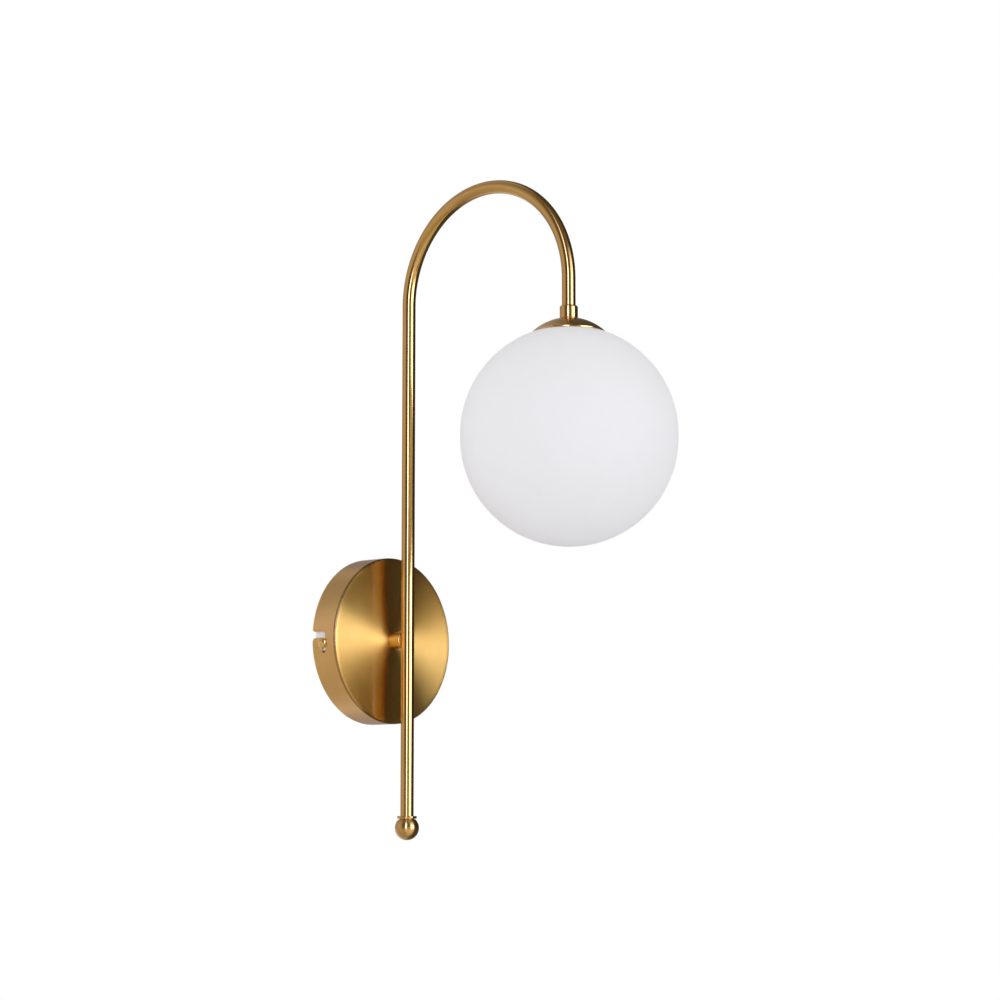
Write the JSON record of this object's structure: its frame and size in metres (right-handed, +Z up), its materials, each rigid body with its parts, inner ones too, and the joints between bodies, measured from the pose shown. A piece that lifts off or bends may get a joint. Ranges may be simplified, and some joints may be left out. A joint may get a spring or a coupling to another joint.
{
  "type": "wall lamp",
  "caption": "Brass wall lamp: round twist-lock canopy, thin tube arched over like a crook, opal glass globe hanging under a domed cap, ball finial at the foot.",
  "frame": {"origin": "middle of the canopy on the wall plane, which is the back face of the bracket", "axes": "+Z up, +Y into the wall, so the lamp stands out to -Y; the arm lies in the plane x = 0"},
  "size_m": [0.15, 0.2641, 0.4675],
  "materials": {
    "satin_brass": "satin brass, fine brushed, clear lacquer",
    "bright_brass": "bright turned brass",
    "zinc_steel": "zinc-plated steel",
    "plain_steel": "plain nickel-plated steel",
    "opal_glass": "opal glass, satin, lets light through but not sight",
    "soft_seal": "pale silicone",
    "white_plastic": "white moulded plastic",
    "ceramic": null,
    "frosted_cover": "frosted polycarbonate",
    "led_board": "white circuit board with yellow chips",
    "clear_nylon": "milky nylon",
    "wire_brown": "brown insulation",
    "wire_blue": "blue insulation",
    "wire_green": "green and yellow insulation"
  },
  "bodies": {
    "bracket": {"wall_bracket": "zinc_steel", "canopy_screws": "bright_brass"},
    "fixture": {"canopy": "satin_brass", "terminal_strap": "zinc_steel", "arm_coupling": "satin_brass", "arm_nipple": "zinc_steel", "arm_lock_washer": "zinc_steel", "arm_nut": "zinc_steel", "nipple_bush": "white_plastic", "arm_tube": "satin_brass", "tube_plug": "bright_brass", "finial_stud": "zinc_steel", "finial": "satin_brass", "collar": "satin_brass", "dome_cap": "satin_brass", "head_nipple": "zinc_steel", "head_lock_washer": "zinc_steel", "head_nut": "zinc_steel", "holder_sleeve": "white_plastic", "socket_body": "ceramic", "socket_contacts": "plain_steel", "socket_screws": "plain_steel", "terminal_block": "clear_nylon", "terminal_sleeves": "bright_brass", "terminal_screws": "plain_steel", "terminal_fixings": "plain_steel", "earth_lug": "plain_steel", "earth_washer": "plain_steel", "earth_screw": "plain_steel", "wire_live": "wire_brown", "wire_neutral": "wire_blue", "wire_earth": "wire_green"},
    "gasket": {"globe_gasket": "soft_seal"},
    "globe": {"globe": "opal_glass", "globe_ring": "white_plastic"},
    "bulb": {"bulb_base": "white_plastic", "bulb_pins": "plain_steel", "bulb_board": "led_board", "bulb_envelope": "frosted_cover"}
  },
  "joints": [
    {"name": "canopy_twist", "type": "hinge", "parent": "bracket", "child": "fixture", "pos_m": [0, 0, 0], "axis": [0, -1, 0], "range_deg": [-4, 5.5]},
    {"name": "globe_drop", "type": "slide", "parent": "fixture", "child": "gasket", "axis": [0, 0, -1], "range_m": [0, 0.009]},
    {"name": "globe_turn", "type": "hinge", "parent": "gasket", "child": "globe", "pos_m": [0, -0.18915, 0.1325], "axis": [0, 0, -1], "range_deg": [0, 1080]},
    {"name": "bulb_pull", "type": "slide", "parent": "fixture", "child": "bulb", "axis": [0, 0, -1], "range_m": [0, 0.01]}
  ],
  "couplings": [
    {"joint": "globe_drop", "follows": "globe_turn", "m_per_rad": 0.00047746}
  ]
}
